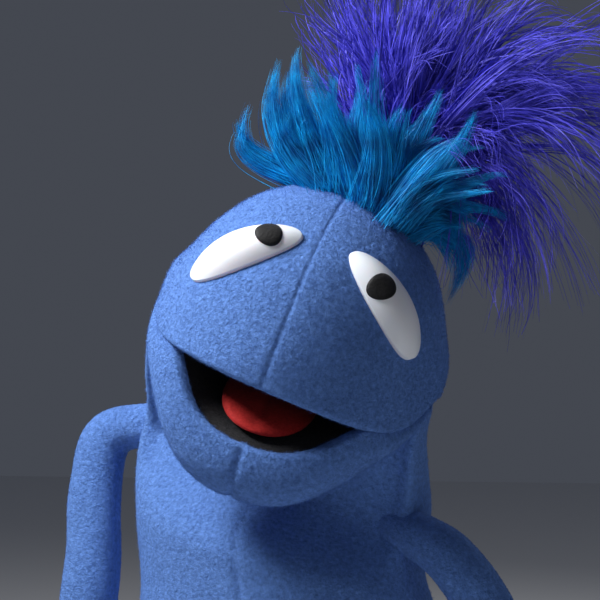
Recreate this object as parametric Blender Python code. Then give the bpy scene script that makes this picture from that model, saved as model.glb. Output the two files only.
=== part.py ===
"""A soft fleece mouth puppet: open-bottomed torso, tilting chest, turning and
nodding head, opening jaw, and two jointed stuffed arms.

Metres, +Z up, the puppet's face toward -Y. Everything above the waist is laid
out upright and then leaned over as one, which is the pose it is stored in.
"""

from math import cos, pi, radians, sin, sqrt

import bmesh
import bpy
from mathutils import Matrix, Vector

# Rest pose
LEAN = radians(20)
BODY_TURN = radians(-14)
JAW_DROP = radians(28)

# Fit between neighbouring pieces
GAP = 0.0004
FLEECE = 0.0016
FOAM = 0.008
FELT = 0.0012
BOARD = 0.0025

# Torso, an oval tube standing on its hem
BODY_AXIS = Vector((0.012, 0.030, 0.0))
BODY_HALF_WIDTH = 0.083
BODY_HALF_DEPTH = 0.064
HEM_HEIGHT = 0.010
TORSO_TOP = 0.172

# Chest ring, high at the back and sides and low in front, under the jaw
CHEST_BOTTOM = 0.222
CHEST_FRONT_TOP = 0.240
CHEST_BACK_TOP = 0.268

# Head and jaw, two bowls that meet along the mouth
LEAN_PIVOT = Vector((0.012, 0.030, 0.277))
MOUTH = Vector((0.0, 0.0, 0.330))
HEAD_HALF_WIDTH = 0.077
HEAD_FRONT = 0.086
HEAD_BACK = 0.068
HEAD_RISE = 0.094
JAW_DEPTH = 0.046
NECK_Z = 0.278
NECK_AXIS = Vector((0.0, 0.038, 0.0))

# Arms, each as knot, shoulder, upper joint, elbow, wrist and fingertip
ARMS = {
    "left": (
        Vector((-0.0735, 0.049, 0.298)),
        Vector((-0.0795, 0.049, 0.296)),
        Vector((-0.100, 0.052, 0.287)),
        Vector((-0.103, 0.044, 0.208)),
        Vector((-0.109, 0.034, 0.138)),
        Vector((-0.114, 0.026, 0.080)),
    ),
    "right": (
        Vector((0.0905, 0.012, 0.240)),
        Vector((0.0960, 0.011, 0.237)),
        Vector((0.116, 0.007, 0.227)),
        Vector((0.134, 0.002, 0.173)),
        Vector((0.147, -0.006, 0.113)),
        Vector((0.152, -0.014, 0.057)),
    ),
}
KNOT_RADIUS = 0.0045
SHOULDER_RADIUS = 0.011
UPPER_ARM_RADII = (0.0125, 0.0150)
FOREARM_RADII = (0.0150, 0.0160)
JOINT_CLEARANCE = 0.009

# Moves the whole puppet so that the middle of its box stands over the origin
SETTLE = Matrix.Translation((-0.05975, -0.00464, 0.0))

COLOURS = {
    "blue_fleece": ((0.13, 0.25, 0.66), 0.95),
    "foam": ((0.80, 0.74, 0.55), 0.95),
    "black_felt": ((0.012, 0.012, 0.016), 0.95),
    "red_felt": ((0.55, 0.03, 0.03), 0.75),
    "white_satin": ((0.85, 0.86, 0.88), 0.45),
    "black_button": ((0.01, 0.01, 0.01), 0.25),
    "turquoise_fur": ((0.0, 0.22, 0.58), 0.95),
    "indigo_feather": ((0.05, 0.03, 0.55), 0.85),
    "fibre_board": ((0.30, 0.22, 0.15), 0.85),
    "webbing": ((0.10, 0.10, 0.12), 0.90),
    "stuffing": ((0.86, 0.86, 0.84), 0.98),
}


def about(point, turn):
    """Return the turn as it acts about the given point."""
    return Matrix.Translation(point) @ turn @ Matrix.Translation(-point)


UPRIGHT = Matrix.Identity(4)
TORSO_PLACE = about(BODY_AXIS, Matrix.Rotation(BODY_TURN, 4, "Z"))
LEAN_PLACE = about(LEAN_PIVOT, Matrix.Rotation(LEAN, 4, "Y"))
CHEST_PLACE = LEAN_PLACE @ TORSO_PLACE
JAW_PLACE = LEAN_PLACE @ about(MOUTH, Matrix.Rotation(JAW_DROP, 4, "X"))


def clear_scene():
    """Remove whatever the startup file holds."""
    for obj in list(bpy.data.objects):
        bpy.data.objects.remove(obj, do_unlink=True)


def material(slot):
    """Return the Principled material of a slot, made on first use."""
    found = bpy.data.materials.get(slot)
    if found:
        return found
    colour, roughness = COLOURS[slot]
    made = bpy.data.materials.new(slot)
    made.use_nodes = True
    shader = made.node_tree.nodes["Principled BSDF"]
    shader.inputs["Base Color"].default_value = (*colour, 1.0)
    shader.inputs["Roughness"].default_value = roughness
    return made


def add_node(name, verts, faces, slot, place=UPRIGHT, origin=None):
    """Make one named closed solid, with its origin at the given point."""
    mesh = bpy.data.meshes.new(name)
    mesh.from_pydata([tuple(v) for v in verts], [], faces)
    mesh.transform(SETTLE @ place)
    obj = bpy.data.objects.new(name, mesh)
    if origin is not None:
        obj.location = SETTLE @ origin
        mesh.transform(Matrix.Translation(-obj.location))
    work = bmesh.new()
    work.from_mesh(mesh)
    bmesh.ops.recalc_face_normals(work, faces=work.faces)
    work.to_mesh(mesh)
    work.free()
    mesh.materials.append(material(slot))
    bpy.context.scene.collection.objects.link(obj)
    return obj


def shell(name, outer, inner, slot, place=UPRIGHT, ring=True, origin=None):
    """Close the space between two grids of points, given as equal rows.

    A ring joins each row's end to its start. A last row of one point is a pole.
    """
    verts = []
    faces = []
    index = []
    for rows in (outer, inner):
        side = []
        for row in rows:
            side.append(list(range(len(verts), len(verts) + len(row))))
            verts.extend(row)
        index.append(side)
    width = len(outer[0])
    steps = width if ring else width - 1
    for side in index:
        for low, high in zip(side, side[1:]):
            for i in range(steps):
                j = (i + 1) % width
                if len(high) == 1:
                    faces.append((low[i], low[j], high[0]))
                else:
                    faces.append((low[i], low[j], high[j], high[i]))
    ends = [0] if len(outer[-1]) == 1 else [0, -1]
    for end in ends:
        out_row = index[0][end]
        in_row = index[1][end]
        for i in range(steps):
            j = (i + 1) % width
            faces.append((out_row[i], out_row[j], in_row[j], in_row[i]))
    if not ring:
        for column in (0, -1):
            for k in range(len(outer) - 1):
                out_side = index[0]
                in_side = index[1]
                faces.append(
                    (
                        out_side[k][column],
                        out_side[k + 1][column],
                        in_side[k + 1][column],
                        in_side[k][column],
                    )
                )
    return add_node(name, verts, faces, slot, place, origin)


def solid(name, rows, slot, place=UPRIGHT, origin=None):
    """Close a stack of equal rings of points, capping both ends."""
    verts = [point for row in rows for point in row]
    width = len(rows[0])
    faces = []
    for k in range(len(rows) - 1):
        for i in range(width):
            j = (i + 1) % width
            base = k * width
            faces.append((base + i, base + j, base + width + j, base + width + i))
    faces.append(tuple(range(width)))
    top = (len(rows) - 1) * width
    faces.append(tuple(range(top, top + width)))
    return add_node(name, verts, faces, slot, place, origin)


def spread(first, last, count):
    """Return evenly spaced values from first to last."""
    return [first + (last - first) * k / (count - 1) for k in range(count)]


def smooth(value, low, high):
    """Ease from 0 to 1 as the value goes from low to high."""
    t = min(1.0, max(0.0, (value - low) / (high - low)))
    return t * t * (3 - 2 * t)


def body_point(turn, z, inset):
    """Return a point on the torso's oval, at a turn from the front."""
    x = (BODY_HALF_WIDTH - inset) * sin(turn)
    y = -(BODY_HALF_DEPTH - inset) * cos(turn)
    return BODY_AXIS + Vector((x, y, z))


def body_wall(name, turns, heights, inset, thickness, slot, place, ring, origin=None):
    """Make a wall that follows the torso's oval between two heights per turn."""
    rows = []
    for depth in (inset, inset + thickness):
        grid = []
        for share in spread(0.0, 1.0, 4):
            row = []
            for turn in turns:
                low, high = heights(turn)
                row.append(body_point(turn, low + (high - low) * share, depth))
            grid.append(row)
        rows.append(grid)
    return shell(name, rows[0], rows[1], slot, place, ring, origin)


def build_torso():
    """Stand the foam tube, its two fleece halves and the hem binding."""
    around = spread(0.0, 2 * pi, 33)[:-1]
    seam = GAP / BODY_HALF_DEPTH

    def foam_span(_):
        return HEM_HEIGHT + GAP, TORSO_TOP

    def hem_span(_):
        return 0.0, HEM_HEIGHT

    inset = FLEECE + GAP
    body_wall("torso_foam", around, foam_span, inset, FOAM, "foam", TORSO_PLACE, True)
    body_wall("hem_band", around, hem_span, 0.0, 0.012, "blue_fleece", TORSO_PLACE, True)
    halves = {
        "torso_fleece_left": spread(-pi + seam, -seam, 17),
        "torso_fleece_right": spread(seam, pi - seam, 17),
    }
    for name, turns in halves.items():
        body_wall(name, turns, foam_span, 0.0, FLEECE, "blue_fleece", TORSO_PLACE, False)


def build_chest():
    """Fit the low-fronted chest ring, its two fleece halves and the neck collar."""
    around = spread(0.0, 2 * pi, 33)[:-1]
    seam = GAP / BODY_HALF_DEPTH

    def span(turn):
        rise = smooth(-cos(turn), -0.25, 0.35)
        return CHEST_BOTTOM, CHEST_FRONT_TOP + (CHEST_BACK_TOP - CHEST_FRONT_TOP) * rise

    inset = FLEECE + GAP
    body_wall("chest_foam", around, span, inset, FOAM, "foam", CHEST_PLACE, True, LEAN_PIVOT)
    halves = {
        "chest_fleece_left": spread(-pi + seam, -seam, 17),
        "chest_fleece_right": spread(seam, pi - seam, 17),
    }
    for name, turns in halves.items():
        body_wall(name, turns, span, 0.0, FLEECE, "blue_fleece", CHEST_PLACE, False, LEAN_PIVOT)


def oval_ring(centre, half_x, half_y, z, count=24):
    """Return a level oval of points about a centre."""
    turns = spread(0.0, 2 * pi, count + 1)[:-1]
    return [Vector((centre.x + half_x * sin(t), centre.y - half_y * cos(t), z)) for t in turns]


def build_neck():
    """Hang the foam collar between the chest and the head."""
    outer = []
    inner = []
    for z in (NECK_Z - 0.005, NECK_Z, NECK_Z + 0.005):
        outer.append(oval_ring(NECK_AXIS, 0.048, 0.028, z))
        inner.append(oval_ring(NECK_AXIS, 0.042, 0.022, z))
    pivot = LEAN_PLACE @ Vector((NECK_AXIS.x, NECK_AXIS.y, NECK_Z))
    shell("neck_collar", outer, inner, "foam", LEAN_PLACE, True, pivot)


def head_point(turn, climb, inset, rise=HEAD_RISE):
    """Return a point on the head's dome, or below the mouth for a negative climb."""
    reach = HEAD_FRONT if cos(turn) > 0 else HEAD_BACK
    x = (HEAD_HALF_WIDTH - inset) * sin(turn) * cos(climb)
    y = -(reach - inset) * cos(turn) * cos(climb)
    z = (rise - inset) * sin(climb)
    return MOUTH + Vector((x, y, z))


def dome_grid(turns, climbs, inset, rise=HEAD_RISE):
    """Return rows of dome points; a climb of a quarter turn is one pole point."""
    grid = []
    for climb in climbs:
        if climb > pi / 2 - 0.01:
            grid.append([head_point(0.0, pi / 2, inset, rise)])
        else:
            grid.append([head_point(turn, climb, inset, rise) for turn in turns])
    return grid


def dome_shell(name, turns, climbs, inset, thickness, slot, place, ring, origin, rise=HEAD_RISE):
    """Make a shell of even thickness on the head's dome or the jaw's bowl."""
    outer = dome_grid(turns, climbs, inset, rise)
    inner = dome_grid(turns, climbs, inset + thickness, rise)
    return shell(name, outer, inner, slot, place, ring, origin)


def mouth_plate(name, low, high, scale, slot, place, origin):
    """Make half an oval plate that fills the mouth in front of its hinge."""
    outline = []
    for turn in spread(-pi / 2, pi / 2, 21):
        outline.append(
            Vector((HEAD_HALF_WIDTH * scale * sin(turn), -0.004 - (HEAD_FRONT * scale - 0.004) * cos(turn), 0.0))
        )
    rows = []
    for z in (low, high):
        rows.append([MOUTH + Vector((p.x, p.y, z)) for p in outline])
    return solid(name, rows, slot, place, origin)


def strap(name, centre, half_width, height, depth, slot, place, origin):
    """Make an arched loop of webbing, open along Y, for a finger or thumb."""
    outer = []
    inner = []
    thickness = 0.0015
    for y in (-depth / 2, depth / 2):
        out_row = []
        in_row = []
        for turn in spread(0.0, pi, 13):
            out_row.append(centre + Vector((half_width * cos(turn), y, height * sin(turn))))
            in_x = (half_width - thickness) * cos(turn)
            in_z = (abs(height) - thickness) * sin(turn) * (1 if height > 0 else -1)
            in_row.append(centre + Vector((in_x, y, in_z)))
        outer.append(out_row)
        inner.append(in_row)
    return shell(name, outer, inner, slot, place, False, origin)


def surface_frame(turn, climb, inset):
    """Return a point on the dome and its outward, sideways and upward directions."""
    step = 0.01
    point = head_point(turn, climb, inset)
    side = (head_point(turn + step, climb, inset) - point).normalized()
    up = (head_point(turn, climb + step, inset) - point).normalized()
    out = side.cross(up).normalized()
    if out.dot(point - MOUTH) < 0:
        out = -out
    side = up.cross(out).normalized()
    up = out.cross(side).normalized()
    return point, out, side, up


def lens(name, point, axes, halves, height, slot, origin):
    """Make a domed oval with a flat back, lying on a plane."""
    out, along, across = axes
    rows = []
    for level, size in ((0.0, 0.97), (0.25, 1.0), (0.62, 0.86), (0.88, 0.60), (1.0, 0.25)):
        row = []
        for turn in spread(0.0, 2 * pi, 25)[:-1]:
            row.append(
                point
                + out * height * level
                + along * halves[0] * size * cos(turn)
                + across * halves[1] * size * sin(turn)
            )
        rows.append(row)
    return solid(name, rows, slot, LEAN_PLACE, origin)


def build_head():
    """Build the foam dome, its fleece panels, the mouth roof, eyes and crest."""
    hinge = LEAN_PLACE @ MOUTH
    lip = radians(4)
    panel_gap = 0.008
    around = spread(0.0, 2 * pi, 33)[:-1]
    climbs = spread(lip, pi / 2, 9)
    inset = FLEECE + GAP
    dome_shell("skull_foam", around, climbs, inset, FOAM, "foam", LEAN_PLACE, True, hinge)
    back = radians(104)
    crown = radians(87)
    face = spread(lip, crown, 9)
    panels = {
        "face_fleece_left": spread(-back, -panel_gap, 13),
        "face_fleece_right": spread(panel_gap, back, 13),
        "back_fleece": spread(back + panel_gap, 2 * pi - back - panel_gap, 15),
    }
    for name, turns in panels.items():
        dome_shell(name, turns, face, 0.0, FLEECE, "blue_fleece", LEAN_PLACE, False, hinge)
    nape_turns = spread(radians(100), radians(260), 17)
    nape_climbs = spread(radians(-24), lip - 0.01, 4)
    dome_shell("nape_foam", nape_turns, nape_climbs, inset, FOAM, "foam", LEAN_PLACE, False, hinge)
    dome_shell("nape_fleece", nape_turns, nape_climbs, 0.0, FLEECE, "blue_fleece", LEAN_PLACE, False, hinge)
    mouth_plate("roof_board", 0.0024, 0.0024 + BOARD, 0.94, "fibre_board", LEAN_PLACE, hinge)
    mouth_plate("roof_felt", 0.0024 - GAP - FELT, 0.0024 - GAP, 0.955, "black_felt", LEAN_PLACE, hinge)
    board_top = MOUTH + Vector((0.0, -0.040, 0.0024 + BOARD + GAP))
    strap("finger_strap", board_top, 0.040, 0.026, 0.022, "webbing", LEAN_PLACE, hinge)
    build_eyes(hinge)
    build_crest(hinge)


def build_eyes(hinge):
    """Set a domed oval eye and its pupil on each side of the face."""
    for name, side in (("left", -1), ("right", 1)):
        point, out, across, up = surface_frame(side * radians(33), radians(31), 0.0)
        slant = radians(42)
        along = (across * side * cos(slant) - up * sin(slant)).normalized()
        width = out.cross(along).normalized()
        seat = point + out * 0.0002
        lens_name = "eye_" + name
        sit = seat - out * 0.0002 + out * 0.0006
        lens(lens_name, sit, (out, along, width), (0.033, 0.0125), 0.012, "white_satin", hinge)
        centre = sit + out * (0.012 + GAP) - along * 0.003
        lens("pupil_" + name, centre, (out, along, width), (0.0072, 0.0072), 0.0016, "black_button", hinge)


def cap_point(tilt, spin, lift, lean=radians(6)):
    """Return a point above the crown, tilted off the head's up axis."""
    direction = Vector((sin(tilt) * cos(spin), sin(tilt) * sin(spin), cos(tilt)))
    direction = Matrix.Rotation(lean, 3, "Y") @ direction
    reach = HEAD_FRONT if direction.y < 0 else HEAD_BACK
    half = Vector((HEAD_HALF_WIDTH, reach, HEAD_RISE))
    scale = 1 / sqrt(sum((direction[k] / half[k]) ** 2 for k in range(3)))
    return MOUTH + direction * (scale + lift)


def crest_lift(tilt, spin):
    """Return how far the fur stands off the crown."""
    edge = 1 - (tilt / radians(28)) ** 2
    sway = 0.85 + 0.15 * cos(spin)
    return 0.004 + 0.052 * sqrt(max(0.0, edge)) * sway


def build_crest(hinge):
    """Stack the crest's backing disc, fur ruff and curved feathers on the crown."""
    spins = spread(0.0, 2 * pi, 25)[:-1]
    tilts = [radians(a) for a in (28, 23, 17, 11, 5)]
    layers = {
        "crest_backing": (0.0010, 0.0026, "webbing"),
        "fur_ruff": (0.0031, None, "turquoise_fur"),
    }
    for name, (low, high, slot) in layers.items():
        outer = []
        inner = []
        for tilt in tilts:
            tops = [high if high else crest_lift(tilt, spin) for spin in spins]
            outer.append([cap_point(tilt, spin, top) for spin, top in zip(spins, tops)])
            inner.append([cap_point(tilt, spin, low) for spin in spins])
        top = high if high else crest_lift(0.0, 0.0)
        outer.append([cap_point(0.0, 0.0, top)])
        inner.append([cap_point(0.0, 0.0, low)])
        shell(name, outer, inner, slot, LEAN_PLACE, True, hinge)
    build_feathers(hinge)


def build_feathers(hinge):
    """Curve feathers up out of the ruff so that they droop to one side."""
    feathers = (
        (-0.014, -0.012, -0.020, 0.088),
        (0.000, 0.010, 0.035, 0.092),
        (0.012, -0.010, 0.085, 0.080),
        (0.022, 0.008, 0.120, 0.055),
        (0.030, -0.006, 0.135, 0.020),
    )
    for number, (x, y, reach, rise) in enumerate(feathers, start=1):
        tilt = sqrt(x * x + y * y) / 0.094
        spin = Vector((1.0, 0.0)).angle_signed(Vector((x, y))) * -1
        root = LEAN_PLACE @ cap_point(tilt, spin, crest_lift(tilt, spin) + 0.005)
        spine = []
        for share in spread(0.0, 1.0, 10):
            climb = rise * sin(share * 2.2) / sin(1.6)
            spine.append(root + Vector((reach * share, y * share, climb)))
        rows = []
        for place, centre in enumerate(spine):
            ahead = spine[min(place + 1, 9)] - spine[max(place - 1, 0)]
            side = ahead.cross(Vector((0.0, 1.0, 0.0))).normalized()
            front = ahead.cross(side).normalized()
            radius = 0.0035 * (1 - 0.06 * place)
            turns = spread(0.0, 2 * pi, 7)[:-1]
            rows.append([centre + (side * cos(t) + front * sin(t)) * radius for t in turns])
        solid(f"feather_{number}", rows, "indigo_feather", UPRIGHT, hinge)


def build_jaw():
    """Build the jaw's foam bowl, fleece halves, mouth floor, tongue and strap."""
    hinge = LEAN_PLACE @ MOUTH
    seam = 0.008
    top = radians(-9)
    deep = radians(-62)
    climbs = spread(deep, top, 6)
    inset = FLEECE + GAP
    turns = spread(radians(-80), radians(80), 17)
    dome_shell("jaw_foam", turns, climbs, inset, FOAM, "foam", JAW_PLACE, False, hinge, JAW_DEPTH)
    halves = {
        "jaw_fleece_left": spread(radians(-80), -seam, 10),
        "jaw_fleece_right": spread(seam, radians(80), 10),
    }
    for name, half in halves.items():
        dome_shell(name, half, climbs, 0.0, FLEECE, "blue_fleece", JAW_PLACE, False, hinge, JAW_DEPTH)
    mouth_plate("floor_board", -0.0024 - BOARD, -0.0024, 0.94, "fibre_board", JAW_PLACE, hinge)
    mouth_plate("floor_felt", -0.0024 + GAP, -0.0024 + GAP + FELT, 0.955, "black_felt", JAW_PLACE, hinge)
    board_under = MOUTH + Vector((0.0, -0.034, -0.0024 - BOARD - GAP))
    strap("thumb_strap", board_under, 0.018, -0.020, 0.020, "webbing", JAW_PLACE, hinge)
    build_tongue(hinge)


def build_tongue(hinge):
    """Lay the padded tongue on the mouth floor, thicker toward its tip."""
    base = -0.0024 + 2 * GAP + FELT
    rows = []
    for y, half, height in (
        (-0.024, 0.014, 0.0010),
        (-0.034, 0.020, 0.0030),
        (-0.048, 0.024, 0.0048),
        (-0.060, 0.023, 0.0062),
        (-0.068, 0.018, 0.0060),
        (-0.0735, 0.010, 0.0038),
    ):
        row = []
        for turn in spread(0.0, pi, 11):
            row.append(MOUTH + Vector((half * cos(turn), y, base + height * sin(turn))))
        rows.append(row)
    solid("tongue", rows, "red_felt", JAW_PLACE, hinge)


def limb_rows(start, end, radii, inset, count=4, sides=14, flat=1.0):
    """Return rings of points along a straight limb, wider or narrower at its end."""
    axis = (end - start).normalized()
    side = axis.cross(Vector((0.0, 1.0, 0.0))).normalized()
    front = axis.cross(side).normalized()
    rows = []
    for share in spread(0.0, 1.0, count):
        radius = radii[0] + (radii[1] - radii[0]) * share - inset
        centre = start.lerp(end, share)
        row = []
        for turn in spread(0.0, 2 * pi, sides + 1)[:-1]:
            row.append(centre + side * radius * cos(turn) + front * radius * flat * sin(turn))
        rows.append(row)
    return rows


def round_rows(start, end, radii, sides=14, flat=1.0):
    """Return rings along a limb whose two ends close in like a sausage's."""
    axis = (end - start).normalized()
    length = (end - start).length
    side = axis.cross(Vector((0.0, 1.0, 0.0))).normalized()
    front = axis.cross(side).normalized()
    ends = (0.0, 0.12, 0.30, 0.55, 1.0)
    first, last = (min(radius, length * 0.45) for radius in radii)
    marks = [first * e for e in ends] + [length - last * e for e in reversed(ends)]
    rows = []
    for mark in marks:
        share = mark / length
        radius = radii[0] + (radii[1] - radii[0]) * share
        near = min(mark / first, (length - mark) / last, 1.0)
        radius *= max(0.22, sqrt(max(0.0, 1 - (1 - near) ** 2)))
        centre = start + axis * mark
        row = []
        for turn in spread(0.0, 2 * pi, sides + 1)[:-1]:
            row.append(centre + side * radius * cos(turn) + front * radius * flat * sin(turn))
        rows.append(row)
    return rows


def build_arm(name, points):
    """Build one arm: knot, shoulder stub, two sleeved and stuffed parts, and a mitten."""
    knot, shoulder, upper, elbow, wrist, tip = points
    sideways = Vector((KNOT_RADIUS, 0.0, 0.0))
    ball = round_rows(knot - sideways, knot + sideways, (KNOT_RADIUS, KNOT_RADIUS), 10)
    solid(f"arm_knot_{name}", ball, "webbing", UPRIGHT, knot)
    reach = (upper - shoulder).normalized()
    stub = round_rows(shoulder, upper - reach * 0.004, (SHOULDER_RADIUS, SHOULDER_RADIUS))
    solid(f"shoulder_{name}", stub, "blue_fleece", UPRIGHT, shoulder)
    parts = {
        "upper_arm": (upper, elbow, UPPER_ARM_RADII),
        "forearm": (elbow, wrist, FOREARM_RADII),
    }
    for part, (start, end, radii) in parts.items():
        axis = (end - start).normalized()
        first = start + axis * JOINT_CLEARANCE
        last = end - axis * JOINT_CLEARANCE
        outer = limb_rows(first, last, radii, 0.0)
        inner = limb_rows(first, last, radii, FLEECE)
        shell(f"{part}_sleeve_{name}", outer, inner, "blue_fleece", UPRIGHT, True, start)
        slim = tuple(radius - FLEECE - GAP for radius in radii)
        core = round_rows(start + axis * 0.003, end - axis * 0.003, slim)
        solid(f"{part}_core_{name}", core, "stuffing", UPRIGHT, start)
    axis = (tip - wrist).normalized()
    palm = round_rows(wrist + axis * 0.003, tip, (0.0175, 0.0190), 14, 0.62)
    solid(f"mitten_{name}", palm, "blue_fleece", UPRIGHT, wrist)
    inward = 1 if name == "left" else -1
    root = wrist.lerp(tip, 0.42) + Vector((inward * 0.0235, -0.004, 0.0))
    thumb_tip = root + Vector((inward * 0.007, -0.005, -0.020))
    thumb = round_rows(root, thumb_tip, (0.0055, 0.0055), 10)
    solid(f"thumb_{name}", thumb, "blue_fleece", UPRIGHT, wrist)


def main():
    """Build every node of the puppet."""
    clear_scene()
    build_torso()
    build_chest()
    build_neck()
    build_head()
    build_jaw()
    for name, points in ARMS.items():
        build_arm(name, points)


main()
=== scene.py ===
"""Looks for the fleece mouth puppet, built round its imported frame.

Metres, +Z up, the face toward -Y. Shapes above the waist are worked out upright,
with the mouth's hinge line as zero height, and then leaned over as one.
"""

from math import cos, pi, radians, sin

import bpy
import numpy as np
from mathutils import Matrix, Vector, noise


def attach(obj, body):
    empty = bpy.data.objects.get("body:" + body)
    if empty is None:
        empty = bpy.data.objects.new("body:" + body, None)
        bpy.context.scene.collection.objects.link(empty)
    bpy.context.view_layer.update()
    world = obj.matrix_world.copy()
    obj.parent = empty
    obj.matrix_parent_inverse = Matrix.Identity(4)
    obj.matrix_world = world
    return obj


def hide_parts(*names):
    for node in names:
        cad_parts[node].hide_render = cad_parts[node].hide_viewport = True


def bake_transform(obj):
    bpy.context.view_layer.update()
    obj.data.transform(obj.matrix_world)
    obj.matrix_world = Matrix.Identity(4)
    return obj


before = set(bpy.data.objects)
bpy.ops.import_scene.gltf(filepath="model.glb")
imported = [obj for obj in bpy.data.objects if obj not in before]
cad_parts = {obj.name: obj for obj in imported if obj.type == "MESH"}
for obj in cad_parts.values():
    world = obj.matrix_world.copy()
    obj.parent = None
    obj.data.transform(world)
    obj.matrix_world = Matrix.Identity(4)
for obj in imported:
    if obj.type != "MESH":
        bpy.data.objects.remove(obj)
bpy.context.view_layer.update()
RNG = np.random.default_rng(7)

# Pose and sizes, as in the frame
LEAN = radians(20)
BODY_TURN = radians(-14)
LEAN_PIVOT = Vector((0.012, 0.030, 0.277))
MOUTH = Vector((0.0, 0.0, 0.330))
BODY_AXIS = Vector((0.012, 0.030, 0.0))
HEAD_HALF_WIDTH = 0.077
HEAD_FRONT = 0.086
HEAD_BACK = 0.068
HEAD_RISE = 0.094
BODY_HALF_WIDTH = 0.083
BODY_HALF_DEPTH = 0.064
JAW_DROP = radians(28)

# Sizes of the visible skin, mouth and eyes
LIP_ROLL = 0.0024
LIP_HALF_WIDTH = 0.0745
LIP_REACH = 0.0845
EYE_HALF_LENGTH = 0.0325
EYE_HALF_WIDTH = 0.0125
EYE_RISE = 0.0062
EYE_LIFT = 0.0018
EYE_SLANT = radians(42)
EYE_CLIMB = radians(31)
LIP_DROOP = 0.0095
LIP_SLANT = 0.0045
CORNER_RISE = 0.024
CHEEK_RISE = 0.0145
CHIN_HALF_WIDTH = 0.0760
CHIN_DEPTH = 0.067
CHIN_REACH = 0.041
TONGUE_HALF_WIDTH = 0.0238
TONGUE_HALF_LENGTH = 0.0355
TONGUE_MIDDLE = 0.0365
TONGUE_THICKNESS = 0.0055
THROAT_RADIUS = 0.0765
THROAT_FRONT = 0.028
SIDE_SEAM_Y = 0.018
PLUME_TOP = 0.572

# The frame's origin is the middle of the puppet's box, which is to one side of its body
SETTLE = Matrix.Translation((-0.05975, -0.00464, 0.0))
LEAN_PLACE = (
    SETTLE
    @ Matrix.Translation(LEAN_PIVOT)
    @ Matrix.Rotation(LEAN, 4, "Y")
    @ Matrix.Translation(-LEAN_PIVOT)
)
HEAD_PLACE = LEAN_PLACE @ Matrix.Translation(MOUTH)

# Each arm as its root inside the body, upper joint, elbow, wrist and fingertip. The right arm's
# root is further forward than its CAD joint, so that the arm crosses in front of the body
ARMS = {
    "left": (
        Vector((-0.058, 0.047, 0.2965)),
        Vector((-0.094, 0.051, 0.283)),
        Vector((-0.100, 0.044, 0.208)),
        Vector((-0.108, 0.034, 0.138)),
        Vector((-0.114, 0.026, 0.080)),
    ),
    "right": (
        Vector((0.056, 0.016, 0.250)),
        Vector((0.102, -0.012, 0.231)),
        Vector((0.132, -0.008, 0.175)),
        Vector((0.147, -0.008, 0.113)),
        Vector((0.152, -0.014, 0.057)),
    ),
}


# Materials


def principled(name, colour, roughness):
    """Return a new material, its nodes and its Principled shader."""
    made = bpy.data.materials.new(name)
    made.use_nodes = True
    nodes = made.node_tree.nodes
    shader = nodes["Principled BSDF"]
    shader.inputs["Base Color"].default_value = (*colour, 1.0)
    shader.inputs["Roughness"].default_value = roughness
    return made, made.node_tree, shader


def noise_node(tree, scale, detail, roughness=0.6):
    """Add a noise texture that follows the mesh's own coordinates."""
    place = tree.nodes.new("ShaderNodeTexCoord")
    made = tree.nodes.new("ShaderNodeTexNoise")
    made.inputs["Scale"].default_value = scale
    made.inputs["Detail"].default_value = detail
    made.inputs["Roughness"].default_value = roughness
    tree.links.new(place.outputs["Object"], made.inputs["Vector"])
    return made


def mix_colours(tree, shader, factor, dark, light, low=0.3, high=0.7):
    """Colour the shader between two tones by a factor."""
    ramp = tree.nodes.new("ShaderNodeValToRGB")
    ramp.color_ramp.elements[0].position = low
    ramp.color_ramp.elements[0].color = (*dark, 1.0)
    ramp.color_ramp.elements[1].position = high
    ramp.color_ramp.elements[1].color = (*light, 1.0)
    tree.links.new(factor, ramp.inputs["Fac"])
    tree.links.new(ramp.outputs["Color"], shader.inputs["Base Color"])


def add_bump(tree, shader, height, strength, distance):
    """Bump the shader's surface by a height."""
    bump = tree.nodes.new("ShaderNodeBump")
    bump.inputs["Strength"].default_value = strength
    bump.inputs["Distance"].default_value = distance
    tree.links.new(height, bump.inputs["Height"])
    tree.links.new(bump.outputs["Normal"], shader.inputs["Normal"])


def fleece_material(name, dark, light):
    """Napped fleece: mottled tone, fine nap and a soft sheen."""
    made, tree, shader = principled(name, light, 1.0)
    mottle = noise_node(tree, 420.0, 6.0, 0.7)
    mix_colours(tree, shader, mottle.outputs["Fac"], dark, light)
    nap = noise_node(tree, 520.0, 6.0, 0.7)
    add_bump(tree, shader, nap.outputs["Fac"], 1.0, 0.0030)
    shader.inputs["Sheen Weight"].default_value = 0.22
    shader.inputs["Sheen Roughness"].default_value = 0.5
    shader.inputs["Sheen Tint"].default_value = (0.30, 0.50, 1.0, 1.0)
    shader.inputs["Specular IOR Level"].default_value = 0.1
    return made


def felt_material(name, dark, light, roughness=1.0, sheen=0.1):
    """Matt pressed felt."""
    made, tree, shader = principled(name, light, roughness)
    mottle = noise_node(tree, 700.0, 5.0)
    mix_colours(tree, shader, mottle.outputs["Fac"], dark, light)
    add_bump(tree, shader, mottle.outputs["Fac"], 0.5, 0.0006)
    shader.inputs["Sheen Weight"].default_value = sheen
    shader.inputs["Specular IOR Level"].default_value = 0.2
    return made


def hair_material(name, dark, light):
    """Dyed hair, darker and lighter in patches."""
    made, tree, shader = principled(name, light, 0.55)
    mottle = noise_node(tree, 90.0, 3.0)
    mix_colours(tree, shader, mottle.outputs["Fac"], dark, light, 0.35, 0.65)
    shader.inputs["Specular IOR Level"].default_value = 0.25
    return made


def satin_material(name, colour):
    """Smooth white satin, slightly soft to light."""
    made, _, shader = principled(name, colour, 0.42)
    shader.inputs["Subsurface Weight"].default_value = 0.1
    return made


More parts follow.
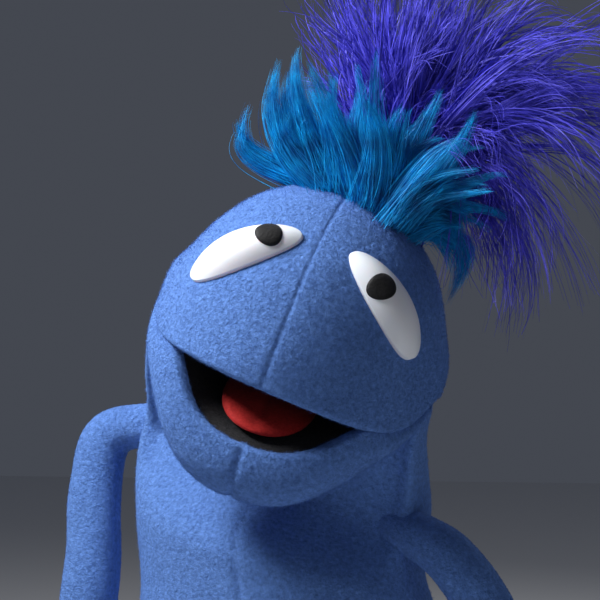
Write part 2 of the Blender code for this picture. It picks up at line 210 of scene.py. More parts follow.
FLEECE = fleece_material("blue_fleece_look", (0.075, 0.170, 0.48), (0.185, 0.375, 0.90))
BLACK_FELT = felt_material("black_felt_look", (0.004, 0.004, 0.006), (0.018, 0.018, 0.022))
RED_FELT = felt_material("red_felt_look", (0.42, 0.012, 0.012), (0.62, 0.03, 0.025), 0.7)
TURQUOISE = hair_material("turquoise_fur_look", (0.0, 0.13, 0.40), (0.0, 0.40, 0.86))
INDIGO = hair_material("indigo_feather_look", (0.022, 0.020, 0.36), (0.105, 0.095, 0.80))
SATIN = satin_material("white_satin_look", (0.80, 0.81, 0.86))
BUTTON = felt_material("black_pupil_look", (0.003, 0.003, 0.004), (0.009, 0.009, 0.010), 0.6)


# Meshes


def smooth(value, low, high):
    """Ease from 0 to 1 as the value goes from low to high."""
    t = np.clip((value - low) / (high - low), 0.0, 1.0)
    return t * t * (3 - 2 * t)


def grid_faces(rows, columns, ring, first=0):
    """Return the quads of a grid of points, as an array of corners."""
    r = np.arange(rows - 1)[:, None]
    c = np.arange(columns if ring else columns - 1)[None, :]
    d = (c + 1) % columns
    low = r * columns
    high = low + columns
    quads = np.stack([low + c, low + d, high + d, high + c], -1)
    return quads.reshape(-1, 4) + first


def placed(points, matrix):
    """Return an array of points moved by a matrix."""
    m = np.array(matrix)
    return points @ m[:3, :3].T + m[:3, 3]


def grid_normals(grid, ring):
    """Return unit normals of a grid of points."""
    if ring:
        across = np.roll(grid, -1, axis=1) - np.roll(grid, 1, axis=1)
    else:
        across = np.gradient(grid, axis=1)
    along = np.gradient(grid, axis=0)
    normal = np.cross(across, along)
    return normal / np.maximum(np.linalg.norm(normal, axis=-1, keepdims=True), 1e-9)


def add_mesh(name, verts, faces, material):
    """Make a smooth-shaded object from arrays of points and faces."""
    mesh = bpy.data.meshes.new(name)
    mesh.from_pydata(np.asarray(verts).tolist(), [], [list(f) for f in faces])
    mesh.materials.append(material)
    mesh.polygons.foreach_set("use_smooth", np.ones(len(mesh.polygons), bool))
    mesh.update()
    obj = bpy.data.objects.new(name, mesh)
    bpy.context.scene.collection.objects.link(obj)
    return obj


def lumps(points, scale, depth):
    """Return a soft random offset for each point."""
    flat = points.reshape(-1, 3)
    heights = np.array([noise.noise(Vector(p) * scale) for p in flat])
    return (heights * depth).reshape(points.shape[:-1])


def nap_fibres(grid, normals, count, length, skip_rows=0):
    """Return the points and triangles of short fibres standing on a grid."""
    columns = grid.shape[1]
    spans = np.linalg.norm(np.diff(grid, axis=0), axis=-1)[:, :-1]
    widths = np.linalg.norm(np.diff(grid, axis=1), axis=-1)[:-1]
    area = spans * widths
    area[:skip_rows] = 0.0
    pick = RNG.choice(area.size, count, p=area.ravel() / area.sum())
    r, c = np.divmod(pick, columns - 1)
    u = RNG.random((count, 1))
    v = RNG.random((count, 1))
    low = grid[r, c] * (1 - u) + grid[r, c + 1] * u
    high = grid[r + 1, c] * (1 - u) + grid[r + 1, c + 1] * u
    root = low * (1 - v) + high * v
    normal = normals[r, c]
    drift = RNG.normal(size=(count, 3))
    drift -= (drift * normal).sum(-1, keepdims=True) * normal
    lean = normal * RNG.uniform(0.35, 1.0, (count, 1)) + drift * 0.75
    lean /= np.linalg.norm(lean, axis=-1, keepdims=True)
    side = np.cross(lean, normal)
    side /= np.maximum(np.linalg.norm(side, axis=-1, keepdims=True), 1e-9)
    tall = length * RNG.uniform(0.5, 1.3, (count, 1))
    tip = root + lean * tall
    root = root - normal * 0.0003
    points = np.stack([root - side * 0.00011, root + side * 0.00011, tip], 1).reshape(-1, 3)
    return points, np.arange(count * 3).reshape(-1, 3)


def cloth_piece(name, grid, ring, material, place=None, fibres=0, length=0.0013, outward=1.0):
    """Make a napped cloth piece from a grid of points."""
    if place is not None:
        grid = placed(grid, place)
    normals = grid_normals(grid, ring) * outward
    grid = grid + normals * lumps(grid, 420.0, 0.00022)[..., None]
    verts = grid.reshape(-1, 3)
    faces = grid_faces(grid.shape[0], grid.shape[1], ring).tolist()
    if fibres:
        points, tris = nap_fibres(grid, normals, fibres, length)
        faces += (tris + len(verts)).tolist()
        verts = np.concatenate([verts, points])
    return add_mesh(name, verts, faces, material)


def head_surface(turn, climb):
    """Return points on the head's dome, from arrays of turn and climb."""
    reach = np.where(np.cos(turn) > 0, HEAD_FRONT, HEAD_BACK)
    x = HEAD_HALF_WIDTH * np.sin(turn) * np.cos(climb)
    y = -reach * np.cos(turn) * np.cos(climb)
    z = HEAD_RISE * np.sin(climb)
    return np.stack([x, y, z], -1)


def unit(vectors):
    """Return vectors at length one."""
    return vectors / np.maximum(np.linalg.norm(vectors, axis=-1, keepdims=True), 1e-9)


def seam_dip(distance, depth=0.0013, width=0.0020):
    """Return how far a surface sinks near a seam at a distance."""
    return depth * np.exp(-((distance / width) ** 2))


# Head


def smile(turn):
    """Return how far the cheeks rise toward the mouth's corners."""
    return (CHEEK_RISE - LIP_SLANT * np.sin(turn)) * np.abs(np.sin(turn)) ** 4


def lip_height(turn):
    """Return the upper lip's height: low and a little slanted in front, turned up at the corners."""
    side = np.sin(turn)
    return -LIP_DROOP - LIP_SLANT * side + CORNER_RISE * np.abs(side) ** 12


def lip_line(turn):
    """Return the lower lip in its dropped pose, from an array of turns."""
    x = LIP_HALF_WIDTH * np.sin(turn)
    y = -LIP_REACH * np.cos(turn)
    share = smooth(-y, 0.052, 0.086)
    drop = JAW_DROP * share
    rise = lip_height(turn) * (1 - 0.8 * share)
    return np.stack([x, y * np.cos(drop), y * np.sin(drop) + rise], -1)


def build_head_skin():
    """Make the dome's fleece with its seams and the lip rolled under."""
    turns = np.linspace(0, 2 * pi, 521)[:-1]
    roll = np.linspace(1.0, 0.0, 7)[:-1]
    climbs = np.linspace(0.0, pi / 2 - 0.002, 150)
    rows = []
    for share in roll:
        edge = head_surface(turns, np.zeros_like(turns))
        out = edge / np.linalg.norm(edge, axis=-1, keepdims=True)
        angle = share * pi * 0.75
        ring = edge - out * LIP_ROLL * (1 - cos(angle)) * 1.6
        ring[:, 2] -= LIP_ROLL * sin(angle)
        rows.append(ring)
    for climb in climbs:
        rows.append(head_surface(turns, np.full_like(turns, climb)))
    grid = np.array(rows)
    edge = np.where(np.cos(turns) > 0, lip_height(turns), smile(turns))
    bend = edge[None, :] * (1 - smooth(grid[..., 2], 0.0, 0.045))
    grid[..., 2] += bend
    centre = np.abs(grid[..., 0])
    front = grid[..., 1] < 0
    dip = np.where(front, seam_dip(centre, 0.0007, 0.0011), 0.0)
    dip += seam_dip(np.abs(grid[..., 1] - SIDE_SEAM_Y), 0.0007, 0.0013)
    out = grid / np.linalg.norm(grid, axis=-1, keepdims=True)
    grid = grid - out * dip[..., None] + out * lumps(grid, 28.0, 0.0012)[..., None]
    skin = cloth_piece("head_skin", grid, True, FLEECE, HEAD_PLACE, 90000)
    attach(skin, "head")
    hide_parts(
        "skull_foam", "face_fleece_left", "face_fleece_right",
        "back_fleece", "nape_foam", "nape_fleece",
    )


def chin_seam(turn):
    """Return the seam under the chin, from an array of turns."""
    x = CHIN_HALF_WIDTH * np.sin(turn)
    z = -CHIN_DEPTH * (1 - np.abs(np.sin(turn)) ** 2.4) - 0.002 + smile(turn)
    y = -CHIN_REACH * np.cos(turn) ** 0.8 + 0.002
    return np.stack([x, y, z], -1)


def blend_jaw(obj):
    """Bake a piece's placement into its mesh, leaving it tied to no body."""
    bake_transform(obj)


def build_jaw_skin():
    """Make the jaw's fleece from the rolled lower lip to the chin seam."""
    reach = radians(80)
    turns = np.linspace(-reach, reach, 361)
    lip = lip_line(turns)
    seam = chin_seam(turns)
    size = np.cos(turns) ** 0.7
    bulge = np.stack([0.012 * np.sin(turns) * size, -0.022 * size, -0.018 * size], -1)
    control = (lip + seam) / 2 + bulge
    rows = []
    inward = np.stack([-np.sin(turns), np.cos(turns), np.zeros_like(turns)], -1)
    for share in np.linspace(1.0, 0.0, 8)[:-1]:
        angle = share * pi * 0.8
        ring = lip + inward * LIP_ROLL * 1.7 * (1 - cos(angle))
        ring[:, 2] += LIP_ROLL * sin(angle) - LIP_ROLL * 0.6
        rows.append(ring)
    start = lip.copy()
    start[:, 2] -= LIP_ROLL * 0.6
    for share in np.linspace(0.0, 1.0, 90):
        rows.append((1 - share) ** 2 * start + 2 * share * (1 - share) * control + share**2 * seam)
    under = seam * np.array([0.88, 0.0, 0.25]) + np.array([0.0, 0.006, -0.004])
    for share in np.linspace(0.0, 1.0, 13)[1:]:
        rows.append(seam * (1 - share) + under * share)
    grid = np.array(rows)
    dip = seam_dip(np.abs(grid[..., 0]))
    out = grid - np.array([0.0, -0.01, -0.01])
    out /= np.linalg.norm(out, axis=-1, keepdims=True)
    grid = grid - out * dip[..., None] + out * lumps(grid, 28.0, 0.0012)[..., None]
    skin = cloth_piece("jaw_skin", grid, False, FLEECE, HEAD_PLACE, 45000, outward=-1.0)
    blend_jaw(skin)
    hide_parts("jaw_foam", "jaw_fleece_left", "jaw_fleece_right")


def build_mouth():
    """Line the mouth's roof and floor with black felt."""
    turns = np.linspace(-pi / 2, pi / 2, 121)
    edge = np.stack([0.0725 * np.sin(turns), -0.0815 * np.cos(turns), lip_height(turns) * 0.8], -1)
    hinge = np.stack([0.070 * np.sin(turns), np.full_like(turns, 0.004), np.full_like(turns, -0.001)], -1)
    shares = np.linspace(0.0, 1.0, 40)[:, None, None]
    roof = edge[None] * (1 - shares) + hinge[None] * shares
    lining = cloth_piece("mouth_roof", roof, False, BLACK_FELT, HEAD_PLACE, 6000, 0.0008)
    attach(lining, "head")
    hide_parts("roof_felt", "roof_board")
    lip = lip_line(turns) * np.array([0.955, 0.955, 1.0]) - np.array([0, 0, 0.0022])
    floor = lip[None] * (1 - shares) + (hinge - np.array([0, 0, 0.0015]))[None] * shares
    lining = cloth_piece("mouth_floor", floor, False, BLACK_FELT, HEAD_PLACE, 8000, 0.0008, -1.0)
    blend_jaw(lining)
    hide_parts("floor_felt", "floor_board")


def build_tongue():
    """Lay a padded, rounded tongue on the mouth floor."""
    place = HEAD_PLACE @ Matrix.Rotation(JAW_DROP + radians(1.5), 4, "X")
    around = np.linspace(0, 2 * pi, 97)[:-1]
    rows = []
    for share in np.linspace(0.0, 1.0, 26):
        size = np.sqrt(max(0.0, 1 - share**3.2))
        x = TONGUE_HALF_WIDTH * size * np.sin(around)
        y = -TONGUE_MIDDLE - TONGUE_HALF_LENGTH * size * np.cos(around)
        x = x * (1.0 + 0.10 * np.cos(around))
        z = np.full_like(around, 0.0008 + TONGUE_THICKNESS * share) * smooth(-y, 0.004, 0.055)
        groove = 0.0011 * np.exp(-((x / 0.0030) ** 2)) * share
        rows.append(np.stack([x, y, z - groove], -1))
    grid = np.array(rows)
    tongue = cloth_piece("tongue_pad", grid, True, RED_FELT, place, 0)
    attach(tongue, "jaw")
    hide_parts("tongue")


# Eyes


def drop_on_head(points):
    """Return points moved along their own direction onto the head's dome."""
    local = points / np.array([HEAD_HALF_WIDTH, HEAD_FRONT, HEAD_RISE])
    return points / np.linalg.norm(local, axis=-1, keepdims=True)


def build_eye(name, side):
    """Set a smooth domed oval and its pupil on the face."""
    turn = np.array([radians(38.5 if side > 0 else -31.5)])
    climb = np.array([EYE_CLIMB])
    point = head_surface(turn, climb)[0]
    side_step = head_surface(turn + 0.01, climb)[0] - point
    up_step = head_surface(turn, climb + 0.01)[0] - point
    out = np.cross(side_step, up_step)
    out /= np.linalg.norm(out)
    up = up_step / np.linalg.norm(up_step)
    across = np.cross(up, out)
    along = across * side * cos(EYE_SLANT) - up * sin(EYE_SLANT)
    width = np.cross(out, along)
    around = np.linspace(0, 2 * pi, 145)[:-1]
    rows = []
    for share in np.linspace(0.0, 1.0, 40):
        size = np.sin(np.clip(share, 0, 1) * pi / 2)
        height = EYE_RISE * (1 - size**2.6) if share < 1 else 0.0
        egg = 1 + 0.16 * np.cos(around)
        x = EYE_HALF_LENGTH * size * np.cos(around)
        y = EYE_HALF_WIDTH * size * np.sin(around) * egg
        on_head = drop_on_head(point + x[:, None] * along + y[:, None] * width)
        rows.append(on_head + out * (height + EYE_LIFT))
    for drop in (0.0012, 0.0030):
        rows.append(rows[39] - out * drop)
    grid = np.array(rows[1:])
    eye = add_grid(f"eye_dome_{name}", grid, True, SATIN)
    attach(eye, "head")
    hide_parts("eye_" + name)
    build_pupil(name, point, out, along, width)


def add_grid(name, grid, ring, material):
    """Make a plain smooth piece on the head from a grid whose first row closes in."""
    grid = placed(grid, HEAD_PLACE)
    verts = grid.reshape(-1, 3)
    faces = grid_faces(grid.shape[0], grid.shape[1], ring).tolist()
    faces.append(list(range(grid.shape[1]))[::-1])
    return add_mesh(name, verts, faces, material)


def build_pupil(name, point, out, along, width):
    """Lay a thin black disc on the eye, toward its upper end."""
    around = np.linspace(0, 2 * pi, 65)[:-1]
    centre, sink = {"left": (-0.0165, -0.0008), "right": (-0.0094, 0.0040)}[name]
    rows = []
    rings = ((0.0005, 0.0010), (0.004, 0.0010), (0.0062, 0.0010), (0.0067, 0.0007), (0.0068, -0.0015))
    for radius, lift in rings:
        x = centre + radius * np.cos(around)
        y = radius * np.sin(around) - sink
        size = np.sqrt((x / EYE_HALF_LENGTH) ** 2 + (y / EYE_HALF_WIDTH) ** 2)
        height = EYE_RISE * (1 - np.clip(size, 0, 1) ** 2.6)
        on_head = drop_on_head(point + x[:, None] * along + y[:, None] * width)
        rows.append(on_head + out * (height + EYE_LIFT + lift)[:, None])
    pupil = add_grid(f"pupil_disc_{name}", np.array(rows), True, BUTTON)
    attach(pupil, "head")
    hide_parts("pupil_" + name)


# Body


def body_ring(turns, height):
    """Return one row of the body tube at an upright height.

    Up to the chest the tube's middle stays over the hem while its rows tilt more and more.
    Above the chest it follows the leaned head, turning from the body's front to the face's,
    and its front draws in under the chin to leave the jaw room.
    """
    head_share = float(smooth(height, 0.266, 0.326))
    tilt = LEAN * float(smooth(height, 0.160, 0.266))
    yaw = BODY_TURN * (1 - head_share)
    tuck = 0.0050 * float(smooth(height, 0.326, 0.352))
    width = BODY_HALF_WIDTH * (1 - head_share) + (THROAT_RADIUS - tuck) * head_share
    facing = smooth(np.cos(turns), 0.20, 0.62)
    front = BODY_HALF_DEPTH * (1 - head_share) + 0.080 * head_share
    recess = facing * float(smooth(height, 0.226, 0.270))
    front = front * (1 - recess) + THROAT_FRONT * recess
    back = BODY_HALF_DEPTH * (1 - head_share) + (0.0675 - tuck) * head_share
    x = width * np.sin(turns)
    y = -np.where(np.cos(turns) > 0, front, back) * np.cos(turns)
    spun_x = x * cos(yaw) - y * sin(yaw)
    spun_y = x * sin(yaw) + y * cos(yaw)
    ring = np.stack([spun_x * cos(tilt), spun_y, -spun_x * sin(tilt)], -1)
    axis = BODY_AXIS * (1 - head_share)
    leaned = LEAN_PLACE @ Vector((axis.x, axis.y, height))
    upright = SETTLE @ Vector((BODY_AXIS.x, BODY_AXIS.y, height))
    share = float(smooth(height, 0.200, 0.290))
    return ring + np.array(upright.lerp(leaned, share))


def build_body_skin():
    """Make the body's fleece as rings, cut into throat, neck, chest and torso pieces."""
    turns = np.linspace(0, 2 * pi, 481)[:-1]
    spans = {
        "throat_skin": (0.353, 0.292, 50, 9000),
        "neck_skin": (0.292, 0.266, 26, 8000),
        "chest_skin": (0.266, 0.120, 120, 45000),
        "torso_skin": (0.120, 0.002, 100, 30000),
    }
    pieces = {}
    for name, (top, low, count, fibres) in spans.items():
        rows = [body_ring(turns, h) for h in np.linspace(low, top, count)]
        grid = np.array(rows)
        gap = np.minimum(np.abs(turns), np.abs(turns - 2 * pi)) * 0.07
        inward = np.array(SETTLE @ BODY_AXIS) - grid
        inward[..., 2] = 0
        inward /= np.linalg.norm(inward, axis=-1, keepdims=True)
        grid = grid + inward * seam_dip(gap)[None, :, None]
        grid = grid + inward * lumps(grid, 24.0, 0.0016)[..., None]
        if name == "torso_skin":
            grid = np.concatenate([(grid[0] + inward[0] * 0.004)[None], grid])
        pieces[name] = cloth_piece(name, grid, True, FLEECE, None, fibres)
    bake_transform(pieces["throat_skin"])
    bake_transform(pieces["neck_skin"])
    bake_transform(pieces["chest_skin"])
    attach(pieces["torso_skin"], "torso")
    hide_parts("chest_foam", "chest_fleece_left", "chest_fleece_right")
    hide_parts("torso_fleece_left", "torso_fleece_right", "torso_foam", "hem_band")
    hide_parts("neck_collar")


# Arms


def curve_points(knots, count):
    """Return evenly spread points on a smooth curve through the knots."""
    knots = np.array([list(SETTLE @ k) for k in knots])
    ends = np.vstack([2 * knots[0] - knots[1], knots, 2 * knots[-1] - knots[-2]])
    spans = len(knots) - 1
    out = []
    for k in range(count):
        at = spans * k / (count - 1)
        i = min(int(at), spans - 1)
        t = at - i
        a, b, c, d = ends[i : i + 4]
        bend = (2 * a - 5 * b + 4 * c - d) * t**2
        twist = (3 * b - a - 3 * c + d) * t**3
        out.append(0.5 * (2 * b + (c - a) * t + bend + twist))
    return np.array(out)


def build_arm(name, knots):
    """Make one stuffed arm as pieces along a smooth curve through shoulder, elbow and wrist."""
    count = 241
    spine = curve_points(knots, count)
    ahead = np.gradient(spine, axis=0)
    ahead /= np.linalg.norm(ahead, axis=-1, keepdims=True)
    front = np.array([0.0, -1.0, 0.0])
    side = np.cross(ahead, front)
    side /= np.linalg.norm(side, axis=-1, keepdims=True)
    front = np.cross(side, ahead)
    share = np.linspace(0, 4, count)
    stations = [0, 0.5, 1, 2, 2.8, 3.2, 3.7, 4]
    radii = [0.0118, 0.0122, 0.0135, 0.0158, 0.0165, 0.0178, 0.0185, 0.0170]
    width = np.interp(share, stations, radii)
    flat = np.interp(share, [0, 2.8, 3.4, 4], [1.0, 1.0, 0.66, 0.60])
    close = np.clip((4 - share) / 0.30, 0, 1)
    width = width * np.sqrt(np.maximum(1 - (1 - close) ** 2, 0.002))
    turns = np.linspace(0, 2 * pi, 73)[:-1]
    ring = side[:, None] * np.sin(turns)[None, :, None]
    ring = ring + (front * flat[:, None])[:, None] * np.cos(turns)[None, :, None]
    grid = spine[:, None] + ring * width[:, None, None]
    grid = grid + ring * lumps(grid, 40.0, 0.0010)[..., None]
    cuts = {
        "arm_root_cuff": (0, 26),
        "shoulder_cuff": (26, 44),
        "upper_sleeve": (44, 90),
        "lower_sleeve": (90, 150),
        "mitten_glove": (150, 240),
    }
    chain = ["chest", "arm_root_", "shoulder_", "upper_arm_", "forearm_", "hand_"]
    chain = [chain[0]] + [body + name for body in chain[1:]]
    stands = {
        "arm_root_cuff": ["arm_knot_" + name],
        "shoulder_cuff": ["shoulder_" + name],
        "upper_sleeve": ["upper_arm_sleeve_" + name, "upper_arm_core_" + name],
        "lower_sleeve": ["forearm_sleeve_" + name, "forearm_core_" + name],
        "mitten_glove": ["mitten_" + name],
    }
    for number, (part, (first, last)) in enumerate(cuts.items()):
        rows = grid[first : last + 1]
        fibres = 6000 if number > 1 else 1800
        piece = cloth_piece(f"{part}_{name}", rows, True, FLEECE, None, fibres, outward=-1.0)
        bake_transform(piece)
        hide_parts(*stands[part])


def build_thumb(name, wrist, tip):
    """Sew a short rounded thumb to the mitten's inner side."""
    inward = 1 if name == "left" else -1
    middle = SETTLE @ wrist.lerp(tip, 0.38)
    start = np.array(middle + Vector((inward * 0.008, -0.001, 0.004)))
    end = np.array(middle + Vector((inward * 0.0315, -0.009, -0.026)))
    axis = unit(end - start)
    side = unit(np.cross(axis, np.array([0.0, 1.0, 0.0])))
    front = np.cross(side, axis)
    turns = np.linspace(0, 2 * pi, 37)[:-1]
    ring = side * np.sin(turns)[:, None] + front * np.cos(turns)[:, None]
    rows = []
    for share in np.linspace(0.0, 1.0, 30):
        near_end = min(share, 1 - share) / 0.22
        size = 0.0070 * np.sqrt(max(1 - (1 - min(near_end, 1.0)) ** 2, 0.004))
        bow = front * 0.002 * sin(share * pi)
        rows.append(start * (1 - share) + end * share + bow + ring * size)
    thumb = cloth_piece(f"thumb_mitt_{name}", np.array(rows), True, FLEECE, None, 2500, outward=-1.0)
    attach(thumb, "hand_" + name)
    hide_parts("thumb_" + name)


# Crest


def crown_roots(x, y):
    """Return points and outward directions on the crown, from places in the head's own frame."""
    reach = np.where(y < 0, HEAD_FRONT, HEAD_BACK)
    z = HEAD_RISE * np.sqrt(np.maximum(1 - (x / HEAD_HALF_WIDTH) ** 2 - (y / reach) ** 2, 0.05))
    out = np.stack([x / HEAD_HALF_WIDTH**2, y / reach**2, z / HEAD_RISE**2], -1)
    out /= np.linalg.norm(out, axis=-1, keepdims=True)
    turn = HEAD_PLACE.to_3x3().to_4x4()
    return placed(np.stack([x, y, z], -1), HEAD_PLACE), placed(out, turn)


def ribbons(name, paths, widths, material):
    """Make thin tapering ribbons along paths, given as strands by steps by point."""
    ahead = np.gradient(paths, axis=1)
    facing = RNG.normal(size=(len(paths), 1, 3)) + np.array([0.0, -1.6, 0.0])
    side = np.cross(ahead, facing)
    side /= np.maximum(np.linalg.norm(side, axis=-1, keepdims=True), 1e-9)
    steps = paths.shape[1]
    taper = (1 - np.linspace(0, 1, steps) ** 2 * 0.85)[None, :, None]
    half = side * (widths[:, None, None] / 2) * taper
    pairs = np.stack([paths - half, paths + half], 2)
    verts = pairs.reshape(-1, 3)
    k = np.arange(steps - 1)
    quad = np.stack([2 * k, 2 * k + 1, 2 * k + 3, 2 * k + 2], -1)
    faces = (quad[None] + (np.arange(len(paths)) * steps * 2)[:, None, None]).reshape(-1, 4)
    return add_mesh(name, verts, faces, material)


def curved(knots, steps):
    """Return steps along many cubic curves, each given by four knots."""
    t = np.linspace(0, 1, steps)[None, :, None]
    a, b, c, d = (k[:, None, :] for k in knots)
    return (1 - t) ** 3 * a + 3 * (1 - t) ** 2 * t * b + 3 * (1 - t) * t**2 * c + t**3 * d


CREST_ROOT = HEAD_PLACE @ Vector((0.012, -0.004, HEAD_RISE - 0.003))

# Locks of the ruff, listed one by one. Each gives its root's place on the crown, its tip across
# and up from the crest's root, and how far its middle sways across and up
FUR_LOCKS = (
    (-0.020, -0.008, -0.064, 0.046, -0.020, -0.006), (-0.016, -0.016, -0.052, 0.076, -0.016, 0.000),
    (-0.012, 0.004, -0.046, 0.082, -0.012, 0.000), (-0.008, -0.020, -0.038, 0.080, -0.006, 0.002),
    (-0.014, -0.022, -0.046, 0.062, -0.010, 0.002), (-0.002, -0.024, -0.026, 0.062, -0.006, 0.002),
    (-0.004, 0.006, -0.030, 0.070, -0.006, 0.000), (0.002, -0.022, -0.016, 0.046, -0.002, 0.002),
    (0.008, -0.018, 0.006, 0.080, -0.002, 0.000), (0.010, -0.026, 0.002, 0.056, 0.002, 0.002),
    (0.014, -0.022, 0.016, 0.044, 0.002, 0.004), (0.018, -0.014, 0.040, 0.050, 0.002, 0.008),
    (0.022, -0.024, 0.046, 0.040, 0.002, 0.008), (0.026, -0.012, 0.058, 0.030, 0.004, 0.010),
    (0.028, -0.022, 0.060, 0.016, 0.004, 0.010), (0.030, -0.014, 0.068, 0.008, 0.004, 0.010),
    (0.032, -0.006, 0.062, -0.010, 0.008, 0.010), (0.034, -0.012, 0.048, -0.026, 0.010, 0.006),
    (0.036, 0.004, 0.044, -0.042, 0.014, 0.004), (0.028, 0.014, 0.062, 0.026, 0.004, 0.008),
    (0.016, 0.018, 0.036, 0.056, 0.002, 0.006), (0.002, 0.018, -0.006, 0.068, 0.002, 0.002),
    (-0.010, 0.014, -0.044, 0.062, -0.010, 0.002),
)

# Tufts of the plume, listed one by one. Each gives its tip across and up from the crest's root,
# and how far its middle arches across and up
PLUME_TUFTS = (
    (-0.026, 0.116, -0.010, 0.010), (-0.012, 0.124, -0.006, 0.008), (0.000, 0.120, -0.006, 0.006),
    (0.006, 0.128, -0.004, 0.006), (0.024, 0.130, 0.000, 0.008), (0.042, 0.130, 0.000, 0.014),
    (0.060, 0.126, 0.000, 0.022), (0.078, 0.118, 0.002, 0.030), (0.092, 0.106, 0.006, 0.036),
    (0.112, 0.096, 0.010, 0.044), (0.130, 0.078, 0.014, 0.050), (0.144, 0.056, 0.018, 0.056),
    (0.146, 0.032, 0.020, 0.060), (0.134, 0.006, 0.024, 0.062), (0.114, -0.016, 0.028, 0.062),
    (0.096, -0.040, 0.032, 0.060), (0.080, -0.056, 0.034, 0.056), (0.070, 0.014, 0.020, 0.040),
    (0.084, 0.052, 0.008, 0.034), (0.060, 0.078, 0.000, 0.022), (0.036, 0.100, 0.000, 0.014),
    (0.014, 0.104, -0.004, 0.008), (0.096, 0.076, 0.010, 0.040), (0.052, 0.048, 0.012, 0.026),
)


def across_and_up(across, up, depth=0.0):
    """Return offsets across and up with a depth toward the back, from arrays."""
    return np.stack([across, np.broadcast_to(depth, across.shape), up], -1)


def build_fur():
    """Grow the turquoise ruff in curved locks whose hairs gather toward each tip.

    Each hair follows its lock's path to its own length, so it is cut from the path by even steps.
    """
    table = np.array(FUR_LOCKS)
    copies = 4
    locks = np.repeat(table, copies, axis=0)
    number = len(locks)
    nudge = RNG.normal(size=(number, 6)) * np.array([0.0030, 0.0030, 0.0060, 0.0060, 0.004, 0.003])
    locks = locks + nudge
    scale = RNG.uniform(0.62, 1.0, (number, 1))
    scale[::copies] = 1.0
    root, out = crown_roots(locks[:, 0], locks[:, 1])
    tip = np.array(CREST_ROOT) + across_and_up(locks[:, 2], locks[:, 3], locks[:, 1] * 1.6)
    tip = root + (tip - root) * scale
    tall = np.linalg.norm(tip - root, axis=-1, keepdims=True)
    sway = across_and_up(locks[:, 4], locks[:, 5]) * scale
    first = root + unit(out + (tip - root) / tall * 0.8) * tall * 0.36 + sway
    second = root + (tip - root) * 0.70 + sway
    steps = 16
    spine = curved((root, first, second, tip), steps)
    per = 150
    member = np.repeat(np.arange(number), per)
    count = len(member)
    along = np.linspace(0, 1, steps)[None, :, None]
    spread = RNG.normal(size=(count, 1, 3)) * np.array([0.0042, 0.0042, 0.0016])
    short = RNG.uniform(0.40, 1.0, (count, 1, 1)) ** 0.6
    gather = 1 - 0.86 * along**1.1
    wave = np.sin(along * 4.5 + RNG.random((number, 1, 1))[member] * 6.0) * along * 0.0034
    paths = spine[member] + spread * gather + wave * unit(RNG.normal(size=(number, 1, 3)))[member]
    cut = along * short * (steps - 1)
    low = np.minimum(cut.astype(int), steps - 2)
    mix = cut - low
    rows = np.arange(count)[:, None]
    paths = paths[rows, low[..., 0]] * (1 - mix) + paths[rows, low[..., 0] + 1] * mix
    paths += RNG.normal(size=(count, 1, 3)) * 0.0007 * along**2
    fur = ribbons("fur_locks", paths, RNG.uniform(0.00016, 0.00036, count), TURQUOISE)
    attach(fur, "head")
    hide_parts("fur_ruff", "crest_backing")


def build_plume():
    """Fan indigo feather tufts up out of the ruff, arching over to one side with curled barbs."""
    table = np.array(PLUME_TUFTS)
    copies = 12
    barbs = np.repeat(table, copies, axis=0)
    number = len(barbs)
    scale = RNG.uniform(0.45, 1.04, (number, 1)) ** 0.8
    x = 0.015 + RNG.normal(size=number) * 0.0075
    y = 0.003 + RNG.normal(size=number) * 0.0060
    root, _ = crown_roots(x, y)
    depth = RNG.normal(size=number) * 0.017
    tip = np.array(CREST_ROOT) + across_and_up(barbs[:, 0], barbs[:, 1], depth) * scale
    tip += RNG.normal(size=(number, 3)) * np.array([0.010, 0.006, 0.009])
    tall = np.linalg.norm(tip - root, axis=-1, keepdims=True)
    arch = across_and_up(barbs[:, 2], barbs[:, 3]) * scale
    upward = unit(np.array([[0.30, 0.0, 1.0]]) + across_and_up(barbs[:, 0] * 3.0, 0 * x))
    first = root + upward * tall * 0.45 + across_and_up(0 * x, 0 * x, depth * 0.3)
    second = root + (tip - root) * 0.66 + arch
    steps = 26
    spine = curved((root, first, second, tip), steps)
    per = 12
    member = np.repeat(np.arange(number), per)
    count = len(member)
    along = np.linspace(0, 1, steps)[None, :, None]
    swing = unit(RNG.normal(size=(number, 1, 3)) * np.array([1.0, 0.7, 1.0]))
    beat = RNG.uniform(3.5, 8.0, (number, 1, 1))
    phase = RNG.random((number, 1, 1)) * 6.0
    spine = spine + np.sin(along * beat + phase) * along**1.5 * swing * 0.0085
    hook = unit(RNG.normal(size=(number, 1, 3)) + np.array([0.3, 0.0, -0.8]))
    spine = spine + hook * along**3 * RNG.uniform(0.0, 0.020, (number, 1, 1))
    spread = RNG.normal(size=(count, 1, 3)) * 0.0030
    splay = RNG.normal(size=(count, 1, 3)) * 0.0030
    paths = spine[member] + spread * np.sqrt(along) + splay * along**2
    paths += np.sin(along * 9.0 + RNG.random((count, 1, 1)) * 6.0) * along * splay * 0.8
    paths[..., 2] = np.minimum(paths[..., 2], PLUME_TOP)
    plume = ribbons("feather_plume", paths, RNG.uniform(0.0004, 0.0010, count), INDIGO)
    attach(plume, "head")
    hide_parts(*[f"feather_{k}" for k in range(1, 6)])


# Stage

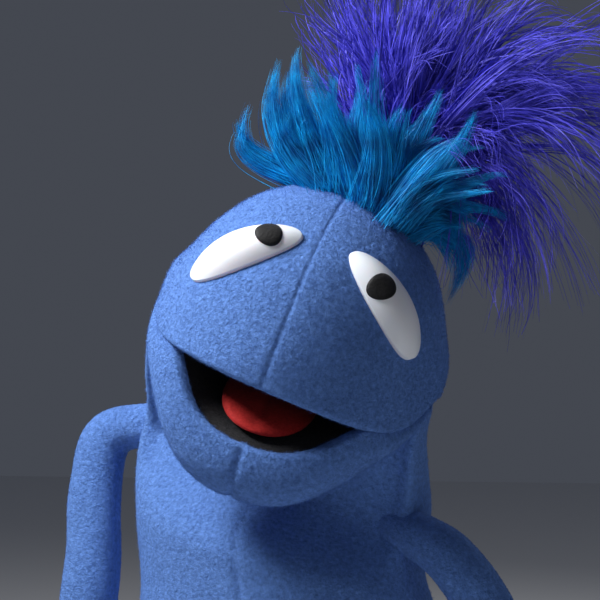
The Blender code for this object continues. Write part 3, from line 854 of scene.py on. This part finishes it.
# Each light's name, place round the puppet, power and size
LIGHTS = (
    ("key", (-0.32, -0.20, 0.76), 7.0, 0.22),
    ("fill", (1.0, -1.2, 0.6), 1.2, 1.0),
    ("rim", (0.4, 0.9, 1.0), 3.0, 0.7),
)
CAMERA_AZIMUTH = radians(8)
CAMERA_DISTANCE = 1.05
CAMERA_HEIGHT = 0.363
CAMERA_ASIDE = 0.022
VIEW_WIDTH = 0.312
SENSOR_WIDTH = 36.0


def build_stage():
    """Set the pale floor, soft lights and the camera."""
    bpy.ops.mesh.primitive_plane_add(size=6)
    floor = bpy.context.object
    floor.name = "floor"
    made, _, _ = principled("floor_look", (0.78, 0.78, 0.79), 0.9)
    floor.data.materials.append(made)
    world = bpy.context.scene.world or bpy.data.worlds.new("world")
    bpy.context.scene.world = world
    world.use_nodes = True
    world.node_tree.nodes["Background"].inputs["Color"].default_value = (0.72, 0.80, 1.0, 1.0)
    world.node_tree.nodes["Background"].inputs["Strength"].default_value = 0.08
    bpy.context.scene.view_settings.view_transform = "Standard"
    target = SETTLE @ Vector((0.0, 0.0, 0.33))
    for name, spot, power, size in LIGHTS:
        light = bpy.data.lights.new(name, "AREA")
        light.energy = power
        light.size = size
        obj = bpy.data.objects.new(name, light)
        obj.location = SETTLE @ Vector(spot)
        obj.rotation_euler = (target - obj.location).to_track_quat("-Z", "Y").to_euler()
        bpy.context.scene.collection.objects.link(obj)
    view = bpy.data.cameras.new("camera")
    view.lens = SENSOR_WIDTH * CAMERA_DISTANCE / VIEW_WIDTH
    view.sensor_width = SENSOR_WIDTH
    camera = bpy.data.objects.new("camera", view)
    aside = Vector((cos(CAMERA_AZIMUTH), sin(CAMERA_AZIMUTH), 0)) * CAMERA_ASIDE
    aim = SETTLE @ Vector((0.0, 0.0, CAMERA_HEIGHT)) + aside
    back = Vector((sin(CAMERA_AZIMUTH), -cos(CAMERA_AZIMUTH), 0.0))
    camera.location = aim + back * CAMERA_DISTANCE
    camera.rotation_euler = (aim - camera.location).to_track_quat("-Z", "Y").to_euler()
    bpy.context.scene.collection.objects.link(camera)
    bpy.context.scene.camera = camera


def main():
    """Dress the frame and light it."""
    build_head_skin()
    build_jaw_skin()
    build_mouth()
    build_tongue()
    build_eye("left", -1)
    build_eye("right", 1)
    build_fur()
    build_plume()
    build_body_skin()
    for name, knots in ARMS.items():
        build_arm(name, knots)
        build_thumb(name, knots[-2], knots[-1])
    build_stage()


main()
